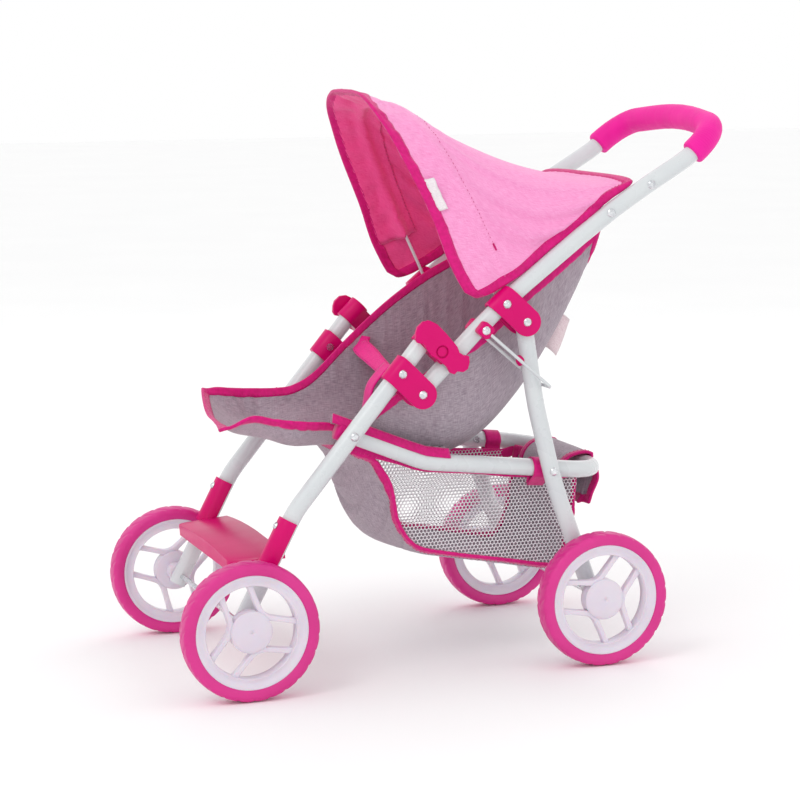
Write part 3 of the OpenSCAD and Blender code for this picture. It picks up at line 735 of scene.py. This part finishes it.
# ---- Handle grip ----

def make_grip():
    tilt, start, clear, corner, peak = 40, (434, 465.4), 6, 41, 57.1
    side = 106

    def on_bar(x, s):
        return at(x, *(np.array(start) + polar(s, tilt)))

    path = rounded_path([on_bar(side, clear), on_bar(side, corner), on_bar(0, peak), on_bar(-side, corner),
                         on_bar(-side, clear)], [0, 0.036, 0.300, 0.036, 0], 3)
    line = resampled(path, 420)
    rng = np.random.default_rng(7)
    uneven = 1 + 0.006 * np.convolve(rng.standard_normal(480), np.ones(6) / 6, "same")[:420]

    def shape(s, total):
        edge = min(s, total - s)
        roll = math.sqrt(max(0.0, 1 - (1 - min(edge / 0.003, 1)) ** 2))
        rib = 0.010 * math.sin(2 * math.pi * s / 0.0021)
        return (0.80 + 0.20 * roll) * (1 - 0.010 + rib * min(edge / 0.004, 1)) * uneven[int(s / total * 419)]

    grip = tube("grip_foam_sleeve", line, 0.012, 40, shape)
    grip.data.materials.append(FOAM)
    stand_for(grip, "handle_grip", "handle")


# ---- Canopy ----

HEM_FRONT, HEM_BACK = np.array([238, 341]), np.array([379, 443.7])
BOW_TILT = 114.5
RIDGE_Y = (136, 384)
RIDGE_Z = [(0, 529), (0.1, 523), (0.2, 513), (0.4, 487), (0.6, 466.5), (0.8, 454), (1, 447.5)]
# How far the front edge is drawn back (or forward, negative) at each height
FRONT_DRAW = [(330, -18), (360, -19), (380, -18), (394, -15.5), (415, -11.5), (434, -9.5), (455, -8),
              (473, -6.5), (493, -4.5), (515, -3), (530, 0)]
CORNER_R = 19


def canopy_grid(m, n):
    """The canopy's cloth, from the front edge to the rear edge and from the left hem to the right."""
    grid = np.zeros((m, n, 3))
    for i in range(m):
        u = i / (m - 1)
        hem = HEM_FRONT + (HEM_BACK - HEM_FRONT) * u
        hem = hem + np.array([0.35, -0.9]) * 7.0 * (1 - u) ** 6
        top = np.array([RIDGE_Y[0] + (RIDGE_Y[1] - RIDGE_Y[0]) * u, smooth_value(RIDGE_Z, u)])
        half = 105.5 - 3 * u
        for j in range(n):
            t = math.pi * j / (n - 1)
            x = half * math.copysign(abs(math.cos(t)) ** 0.55, math.cos(t))
            rise = math.sin(t) ** 0.8
            side_dip = 5.5 * math.sin(2 * t) ** 2 * math.sin(math.pi * u) ** 2
            x -= math.copysign(side_dip, x)
            p = hem + (top - hem) * rise
            p[0] += smooth_value(FRONT_DRAW, p[1]) * max(0.0, 1 - u / 0.4) ** 1.5
            a = max(0.0, 1 - u * 170 / CORNER_R)
            b = max(0.0, 1 - np.linalg.norm(top - hem) * rise / CORNER_R)
            p += CORNER_R * (a * (1 - math.sqrt(1 - b * b / 2)) * np.array([0.83, 0.56])
                             + b * (1 - math.sqrt(1 - a * a / 2)) * np.array([-0.45, 0.89]))
            p[1] += 1.5 * math.sin(u * 16 + 1) * (1 - rise) ** 6
            grid[i, j] = at(x, *p)
    return np.array([resampled(row, n) for row in grid])


def make_canopy():
    m, n = 60, 96
    rest = canopy_grid(m, n)
    held = edges_held(m, n)
    held[9:11] = True
    grid = settle(rest, held, slack=0.018, cap=0.005, weight=0.6)
    # The inner face gets the darker copy of the pink cloth, which is painted shade
    canopy = sheet_piece("canopy_cloth", grid, ROSE, ROSE_INNER_SHADE)
    pieces = [canopy, binding("canopy_front_binding", grid, "start", 0.0095, 0.0016),
              binding("canopy_rear_binding", grid, "end", 0.0090, 0.0015, wave=0.10)]
    pieces += [binding(f"canopy_hem_{side}", grid, side, wave=0.14) for side in ("left", "right")]
    for k, edge in enumerate(("start", "end", "left", "right")):
        pieces.append(edge_stitches(f"canopy_edge_stitches_{k}", grid, edge, 0.0072, 0.0014))
    normal = normals_of(grid)
    pieces += make_sleeve(grid, normal, make_bow(grid, normal))
    pieces.append(make_canopy_label(grid))
    for piece in pieces:
        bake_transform(piece)
    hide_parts("canopy")


def behind_bow(p):
    """Distance in metres behind the plane of the wire bow, and the distance up it from its pivot."""
    pivot = np.array(JOINTS["canopy_fold"]["pos_m"])
    d = (np.asarray(p) - pivot)[..., 1:]
    return d @ polar(1, BOW_TILT - 90), d @ polar(1, BOW_TILT)


def bow_line(grid, normal, j, distance):
    """Point and normal in column j of the canopy, at a distance behind the bow's plane."""
    s = behind_bow(grid[:, j])[0]
    return [at_distance(g[:, j], s, distance) for g in (grid, normal)]


def bow_columns(grid, normal, low):
    """Columns of the canopy in which the bow's plane is at least that far up."""
    return [j for j in range(grid.shape[1]) if behind_bow(bow_line(grid, normal, j, 0)[0])[1] > low]


def make_sleeve(grid, normal, wire):
    """The channel for the wire bow, sewn inside the canopy, with its seam's stitches outside and in."""
    columns = bow_columns(grid, normal, 0.050)
    gaps = []
    for j in columns:
        p, up = bow_line(grid, normal, j, 0)
        nearest = wire[int(np.argmin(np.linalg.norm(wire - p, axis=1)))]
        gaps.append(float(np.linalg.norm(p - nearest)) + 0.0014)
    fronts = [behind_bow(inside_edge(grid, "start", 0.006)[0][j])[0] for j in columns]
    rows = []
    for s in np.linspace(0, 1, 29):
        line = []
        for j, front, gap in zip(columns, fronts, gaps):
            d = front + (0.0145 - front) * s
            p, up = bow_line(grid, normal, j, d)
            lift = 0.0012 + gap * math.exp(-(d / 0.0055) ** 2)
            line.append(p - up * lift)
        rows.append(line)
    # The sleeve inside the canopy takes the inner face's deeper pink, which is painted shade
    pieces = [sheet_piece("canopy_bow_sleeve", np.array(rows), ROSE_INNER_SHADE, thick=0.0008)]
    line, up = (np.array(v) for v in zip(*[bow_line(grid, normal, j, 0.0142) for j in columns]))
    pieces.append(stitches("canopy_channel_stitches", line + up * 0.0007, up))
    pieces.append(stitches("canopy_channel_stitches_inside", line - up * 0.0022, -up))
    for k, side in ((0, "left"), (-1, "right")):
        end, out = line[k], up[k]
        down = line[k] - line[1 if k == 0 else -2]
        down /= np.linalg.norm(down)
        points = np.array([end + out * 0.0009 - down * 0.004, end + out * 0.0011 + down * 0.003])
        tack = tube(f"canopy_bar_tack_{side}", resampled(points, 8), 0.0009, 8)
        pieces.append(one_material(tack, THREAD))
    return pieces


def make_bow(grid, normal):
    """The wire bow: free at its two flattened eyes, and close under the cloth inside its channel."""
    pivot = np.array(JOINTS["canopy_fold"]["pos_m"])
    cloth = [bow_line(grid, normal, j, 0) for j in bow_columns(grid, normal, 0.085)]
    arch = [p - up * 0.0034 for p, up in cloth]
    free = ((0.0936, 4.0), (0.0937, 24.0), (0.0944, 46.0))      # x in metres, millimetres up from the pivot
    side = [[pivot + (sign * x, *(polar(s, BOW_TILT) * MM)) for x, s in free] for sign in (1, -1)]
    line = resampled(spline([*side[0], *arch[::3], *side[1][::-1]], 300), 260)
    parts = [tube("bow_wire", line, 0.0015, 12)]
    eye = [(2.1, -1.1), (5, -1.1), (5, 1.1), (2.1, 1.1)]
    parts += [turned("bow_eye", eye, pivot + (sign * 0.0935, 0, 0), sign, 32) for sign in (1, -1)]
    bow = join("canopy_bow_wire", parts)
    one_material(bow, WHITE)
    stand_for(bow, "canopy_bow", "bow")
    return line


def make_canopy_label(grid):
    """A small blank woven tag that hangs from the front binding on the left side."""
    front = lengths(grid[0])
    lines = [inside_edge(grid, "start", d) for d in np.linspace(0.0080, 0.0170, 6)]
    want = np.linspace(0.090, 0.122, 16)
    rows = [at_distance(p + up * (0.0012 + 0.0005 * k), front, want) for k, (p, up) in enumerate(lines)]
    return sheet_piece("canopy_blank_label", np.array(rows), LABEL, thick=0.0005)


# ---- Seat and belt ----

RAIL_X = 89.5


def rail_z(y):
    """Height of the middle of the basket rail."""
    return float(np.interp(y, (80, 165, 181, 200, 360), (235.8, 201.4, 195.4, 192.1, 174.3)))


# Each row: (y, z) of the section's lowest point and of its left and right top edges, and its half width
SEAT_ROWS = np.array([
    (3.5, 233, -9, 232.5, 17, 248, 78), (14, 229, 4, 236, 22, 247.5, 78),
    (28, 222, 22, 243.5, 32, 248, 79), (46, 219.5, 42, 239.5, 48, 246, 81),
    (68, 214, 68, 236, 68, 244.5, 82), (88, 213, 90, 233.8, 90, 244, 80),
    (108, 212, 110, 231, 108, 246, 80), (130, 206, 130, 238, 130, 258, 80),
    (160, 198, 158, 257, 163, 288, 82), (205, 193, 197, 283, 205, 322.5, 84),
    (247, 206, 240, 307, 245, 349, 84), (283, 241, 279, 341, 282, 368, 84),
    (311, 284, 308, 363, 309, 385, 84), (336, 331, 333, 383, 333, 397, 84),
    (344, 360, 357, 402, 355, 404, 84)], float)
SQUARENESS = 0.62       # below 1 squares the section off


def seat_grid(m, n):
    rows = spline(SEAT_ROWS, m)
    grid = np.zeros((m, n, 3))
    for i, (low_y, low_z, left_y, left_z, right_y, right_z, half) in enumerate(rows):
        low = np.array([low_y, low_z])
        for j in range(n):
            t = math.pi * (0.5 - j / (n - 1))
            top = np.array([left_y, left_z] if t > 0 else [right_y, right_z])
            x = half * math.copysign(abs(math.sin(t)) ** SQUARENESS, t)
            square = min(1.0, 7 * i / (m - 1))
            rise = square * (1 - abs(math.cos(t)) ** SQUARENESS) + (1 - square) * abs(x / half) ** 1.4
            grid[i, j] = at(x, *(low + (top - low) * rise))
    return np.array([resampled(row, n) for row in grid])


def point_at(grid, row, target_z):
    """Column of the row, counted from its first side, where the cloth comes down to that height."""
    below = np.flatnonzero(grid[row, :grid.shape[1] // 2, 2] <= target_z * MM)
    return int(below[0]) if len(below) else grid.shape[1] // 2


def make_seat():
    m, n = 110, 90
    rest = seat_grid(m, n)
    held = edges_held(m, n)
    grid = settle(rest, held, slack=0.014, cap=0.005, weight=0.5)
    seat = sheet_piece("seat_cloth", grid, GREY, thick=0.0016)
    extra = [binding(f"seat_edge_{side}", grid, side, wave=0.12) for side in ("left", "right")]
    extra += [binding("seat_edge_front", grid, "start", wave=0.10),
              binding("seat_edge_top", grid, "end", wave=0.10)]
    for edge in ("left", "right", "start", "end"):
        extra.append(edge_stitches(f"seat_stitches_{edge}", grid, edge, 0.0070, 0.0014))
    extra += seat_bands(grid)
    extra += seat_tabs(grid)
    belt = make_belt()
    for piece in [seat] + extra + belt:
        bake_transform(piece)
    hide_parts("seat")
    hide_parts("waist_belt")


def seat_bands(grid):
    """The bound seams where the side wings meet the pan, drawn out over the rail on both sides."""
    made = []
    for side, sign, _ in SIDES:
        g = grid[:, ::sign]
        ys = np.linspace(92, 204, 50)
        line = np.array([at(sign * 92.3, y, rail_z(y) + 9.3) for y in ys])
        lean, out = np.array([-sign * 0.71, 0, 0.71]), np.array([sign * 0.71, 0, 0.71])
        made.append(ribbon(f"seat_band_{side}", line, lean, 0.0106, 0.0016))
        made.append(stitches(f"seat_band_stitches_{side}", line + out * 0.0009 + lean * 0.0036, out))
        rows = []
        for y in ys:
            i = int(np.argmin(np.abs(g[:, 0, 1] - at(0, y, 0)[1])))
            j = point_at(g, i, rail_z(y) + 11)
            rows.append(np.linspace(g[i, j], at(sign * 89.0, y, rail_z(y) + 11.8), 6))
        made.append(sheet_piece(f"seat_flank_{side}", np.array(rows), GREY, thick=0.0012))
    return made


def seat_tabs(grid):
    """Straps from the top corners to the rivets on the handle, a blank care tag and a white hanging loop."""
    made = []
    for side, sign, j in SIDES:
        corner = grid[-4, j]
        points = [corner + (0, -0.004, -0.002), at(sign * 90, 356, 409), at(sign * 95.5, 355, 415),
                  at(sign * 97.2, 354, 419)]
        line = spline(points, 24)
        made.append(ribbon(f"seat_strap_{side}", line, [0, 0.76, 0.65], 0.012, 0.0016))
    m = len(grid)
    normal = normals_of(grid)
    column = int(np.argmin(np.abs(grid[int(0.8 * m), :, 0] - 0.058)))
    upper, lower = (int(np.argmin(np.abs(grid[:, column, 2] - z * MM))) for z in (324, 291))
    root, out = grid[lower:upper, column], -normal[lower:upper, column]
    rows = [root + out * (0.0006 + 0.0125 * s) + (0.0016 * math.sin(3 * s), 0, -0.003 * s * s)
            for s in np.linspace(0, 1, 9)]
    made.append(sheet_piece("seat_care_tag", np.array(rows), TAG, thick=0.0004))
    i = int(0.88 * m)
    line = spline([grid[i - k, 12] + normal[i - k, 12] * lift
                   for k, lift in ((0, 0.0025), (1, 0.005), (3, 0.006), (5, 0.0028))], 20)
    made.append(ribbon("seat_hanging_loop", line, [0.25, 0.8, 0.5], 0.0065, 0.0008, LABEL))
    return made


BELT_WIDTH = 0.0178
CROTCH_PATH = [(176.8, 273.2), (171.8, 268.6), (166.5, 263), (160.5, 255.5), (157.2, 247), (156, 239),
               (154, 228), (151, 216), (152, 208), (156, 203.5)]


def make_belt():
    """Webbing: a slack waist band between the wings, and a crotch strap from its middle to the pan."""
    band = spline([at(-81.5, 178.5, 291), at(-76, 175.5, 282.5), at(-45, 176, 275.5), at(0, 173.7, 268.3),
                   at(35, 172, 265), at(79, 172, 261)], 60)
    lean = np.array([(0, 0.80, 0.60 + 0.2 * abs(k - 30) / 30) for k in range(60)])
    narrow = np.array([1 - 0.20 * math.exp(-((k - 32) / 14) ** 2) for k in range(60)])
    waist = ribbon("waist_band", band, lean, BELT_WIDTH, 0.0014, WEB, edges=narrow)
    path = spline([at(0, y, z) for y, z in CROTCH_PATH], 90)
    strap = ribbon("crotch_strap", path, [1, 0, 0], 0.020, 0.0014, WEB)
    pieces = [waist, strap]
    d, _, _ = frames_along(band)
    up = lean / np.linalg.norm(lean, axis=1)[:, None]
    face = np.cross(d, up)
    for k, share in enumerate((0.42, -0.42)):
        line = band + up * (share * BELT_WIDTH * narrow)[:, None] + face * 0.0009
        pieces.append(stitches(f"waist_stitches_{k}", line, face))
    return pieces


# ---- Basket ----

BASKET_X = 79
# The side seam and the upper hem of the net, as (y, z), and how far the panel bulges along its length
BASKET_SEAM = [(108, 208), (122, 203), (136, 197), (144, 187), (151, 175), (155, 157), (158, 140), (167, 123),
               (181, 112), (214, 104), (263, 95), (300, 88), (317, 88), (326, 104), (332, 128), (338, 150),
               (346, 174)]
BASKET_HEM = [(108, 208), (134, 200), (160, 192), (180, 185), (210, 181), (239, 178), (265, 174), (299, 171),
              (325, 169), (346, 174)]
PANEL_SAG = [(0, 0), (0.06, 8), (0.157, 20), (0.258, 14), (0.312, 8.5), (0.36, 4.5), (0.455, 2.5),
             (0.78, 1.5), (0.9, -4), (1, 0)]


def panel_grid(m, n):
    """The cloth that makes the basket's front, bottom and back, sagging between its side seams."""
    seam = spline(BASKET_SEAM, m)
    d = np.gradient(seam, axis=0)
    out = np.stack([-d[:, 1], d[:, 0]], axis=1)
    out /= -np.linalg.norm(out, axis=1)[:, None]
    grid = np.zeros((m, n, 3))
    for i in range(m):
        u = i / (m - 1)
        sag = smooth_value(PANEL_SAG, u)
        for j in range(n):
            x = BASKET_X * (1 - 2 * j / (n - 1))
            s = x / BASKET_X
            share = (1 - s ** 2) * (1 - 0.20 * s) + 0.30 * (1 - s) * (1 + s)
            ripple = 0.8 * math.sin(9 * u + 4 * s) * (1 - s ** 2)
            corner = max(0.0, (u - 0.88) / 0.12) * max(0.0, abs(s) - 0.6) / 0.4
            p = seam[i] + out[i] * (sag * share + ripple) - np.array([9.0, 0]) * corner
            grid[i, j] = at(x * (1 - 0.05 * corner), *p)
    return grid


def inside_outline(points, outline):
    """Which points lie inside a closed outline."""
    x, y = points[:, 0], points[:, 1]
    inside = np.zeros(len(points), bool)
    for (x0, y0), (x1, y1) in zip(outline, np.roll(outline, -1, axis=0)):
        crosses = (y0 > y) != (y1 > y)
        with np.errstate(divide="ignore", invalid="ignore"):
            inside ^= crosses & (x < (x1 - x0) * (y - y0) / (y1 - y0) + x0)
    return inside


# The strands alone cover about a quarter.
LEAST_NET_SHARE = 0.301


def net_piece(name, sign, seam, hem, pitch=3.6, hole=0.82):
    """Warp-knitted net: a lattice of round holes over one side of the basket."""
    outline = np.concatenate([seam, hem[::-1]])
    low, high = outline.min(axis=0), outline.max(axis=0)
    rise = pitch * math.sqrt(3) / 2
    columns, rows = (int(v) + 2 for v in (high - low) / (pitch, rise))
    centres = np.array([(low[0] + (i + 0.5 * (k % 2)) * pitch, low[1] + k * rise)
                        for k in range(rows) for i in range(columns)])
    centres = centres[inside_outline(centres, outline)]
    corner = pitch / math.sqrt(3)
    seen, points, faces = {}, [], []

    def corner_point(p):
        """The number of a point that neighbouring cells share."""
        key = (round(p[0] * 50), round(p[1] * 50))
        if key not in seen:
            seen[key] = len(points)
            points.append(p)
        return seen[key]

    for c in centres:
        outer, inner = [], []
        for k in range(12):
            far = corner if k % 2 else corner * math.cos(math.radians(30))
            outer.append(corner_point(c + polar(far, 30 * k)))
            inner.append(len(points))
            points.append(c + polar(hole * pitch / 2, 30 * k))
        faces += [(outer[k], outer[(k + 1) % 12], inner[(k + 1) % 12], inner[k]) for k in range(12)]
    flat = np.array(points)
    away = 1 - np.clip(np.abs(flat - (low + high) / 2) / (high - low) * 2, 0, 1) ** 2
    pull = 3.5 * away[:, 0] * away[:, 1] + 0.7 * np.sin(flat[:, 0] / 11) * away[:, 1]
    place = np.array([at(sign * (BASKET_X - 0.6 - d), y, z) for (y, z), d in zip(flat, pull)])
    net = mesh_piece(name, place, faces)
    set_uv(net, flat * MM)
    net.data.materials.append(NET)
    modify(net, "SOLIDIFY", thickness=0.00028)
    a, b, c, d = flat[np.array(faces)].transpose(1, 0, 2)
    p, q = c - a, d - b
    area = float(np.abs(p[:, 0] * q[:, 1] - p[:, 1] * q[:, 0]).sum() / 2) * MM * MM
    width, height = (float(v) for v in (high - low) * MM)
    return net, (width, height), max(area, LEAST_NET_SHARE * width * height)


def make_basket():
    m, n = 130, 64
    rest = panel_grid(m, n)
    held = edges_held(m, n)
    grid = settle(rest, held, slack=0.016, cap=0.005, weight=0.8)
    panel = sheet_piece("basket_panel", grid, GREY, thick=0.0016)
    extra = [binding("basket_seam_left", grid, "left", 0.0090, 0.0015, wave=0.14),
             binding("basket_seam_right", grid, "right", 0.0090, 0.0015, wave=0.14),
             binding("basket_front_hem", grid, "start"), binding("basket_rear_hem", grid, "end")]
    for edge in ("left", "right", "start", "end"):
        extra.append(edge_stitches(f"basket_stitches_{edge}", grid, edge, 0.0072, -0.0016))
    nets = []
    for side, sign, j in SIDES:
        seam = np.array([[(p[1] - AXLE[1]) / MM, p[2] / MM] for p in grid[:, j]])
        hem = spline(BASKET_HEM, 60)
        net, size, net_area = net_piece(f"basket_net_{side}", sign, seam, hem)
        nets.append((net, size, net_area))
        lift = 4 if sign > 0 else -3
        line = resampled(np.array([at(sign * (BASKET_X - 0.4 + 0.8 * math.sin(k / 7)), y, z + lift)
                                   for k, (y, z) in enumerate(hem)]), 120)
        top = ribbon(f"basket_net_hem_{side}", line, [0, 0.1, 1], 0.0095, 0.0026, crown=0.0002)
        face = np.array([sign, 0.0, 0.0])
        extra += [top, stitches(f"basket_net_stitches_{side}", line + face * 0.0016 - (0, 0, 0.003), face)]
        extra += rail_loops(side, sign)
    for piece in [panel] + extra + [net for net, _, _ in nets]:
        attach(piece, "rail")
        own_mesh(piece)
    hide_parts("basket")


def rail_loops(side, sign):
    """A tape loop that hangs the basket's hem from the rail, and the tape round the rail's open end."""
    y = 293 if side == "left" else 316
    z = rail_z(y)
    turns = [at(sign * (RAIL_X + 9.2 * math.cos(a)), y, z + 9.2 * math.sin(a))
             for a in np.radians(range(-45, 226, 45))]
    loop = spline([at(sign * (BASKET_X + 1.2), y, z - 18), at(sign * (RAIL_X + 1.5), y, z - 10.5)] + turns
                  + [at(sign * (BASKET_X + 0.2), y, z - 16)], 70)
    wrap = resampled(np.array([at(sign * RAIL_X, 96.4, 229.0), at(sign * RAIL_X, 103.5, 226.1)]), 12)
    cover = one_material(tube(f"rail_end_tape_{side}", wrap, 0.0089, 28), TAPE)
    return [ribbon(f"rail_loop_{side}", loop, [0, 1, -0.11], 0.016, 0.0012), cover]


FLAP_PATH = [(330, 158), (333, 172), (341, 181), (352, 184.8), (362, 185), (370, 181), (375, 172), (376, 160),
             (369, 149), (360, 139)]


def make_flap():
    m, n = 70, 60
    path = spline(FLAP_PATH, m)
    grid = np.zeros((m, n, 3))
    for i in range(m):
        u = i / (m - 1)
        loose = max(0.0, (u - 0.45) / 0.55)
        for j in range(n):
            s = 1 - 2 * j / (n - 1)
            wave = 3.0 * math.sin(5.2 * s + 2.0 * u) * loose + 1.6 * math.sin(11 * s - 3 * u) * loose
            far = 1.0 - 0.55 * max(0.0, -s) * loose
            p = path[i] + np.array([wave * far, -1.5 * (1 - s * s) * loose])
            grid[i, j] = at(48 * s * (1 - 0.04 * loose), *p)
    held = np.zeros((m, n), bool)
    held[:int(0.5 * m)] = True
    grid = settle(grid, held, slack=0.006, cap=0.005, weight=1.0)
    flap = sheet_piece("basket_flap_cloth", grid, GREY, thick=0.0014)
    extra = [binding(f"basket_flap_edge_{edge}", grid, edge) for edge in ("left", "right", "end")]
    for edge in ("left", "right", "end"):
        extra.append(edge_stitches(f"basket_flap_stitches_{edge}", grid, edge, 0.0070, 0.0014))
        extra.append(edge_stitches(f"basket_flap_understitches_{edge}", grid, edge, 0.0070, -0.0014))
    for piece in [flap] + extra:
        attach(piece, "rail")
    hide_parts("basket_flap")


# ---- Run ----

make_camera()
make_studio()
finish_cad_nodes()
TURNS = {"front_left": 50, "front_right": 103, "rear_left": 113, "rear_right": 113}
for wheel, turn in TURNS.items():
    make_wheel(*wheel.split("_"), turn)
make_grip()
make_canopy()
make_seat()
make_basket()
make_flap()
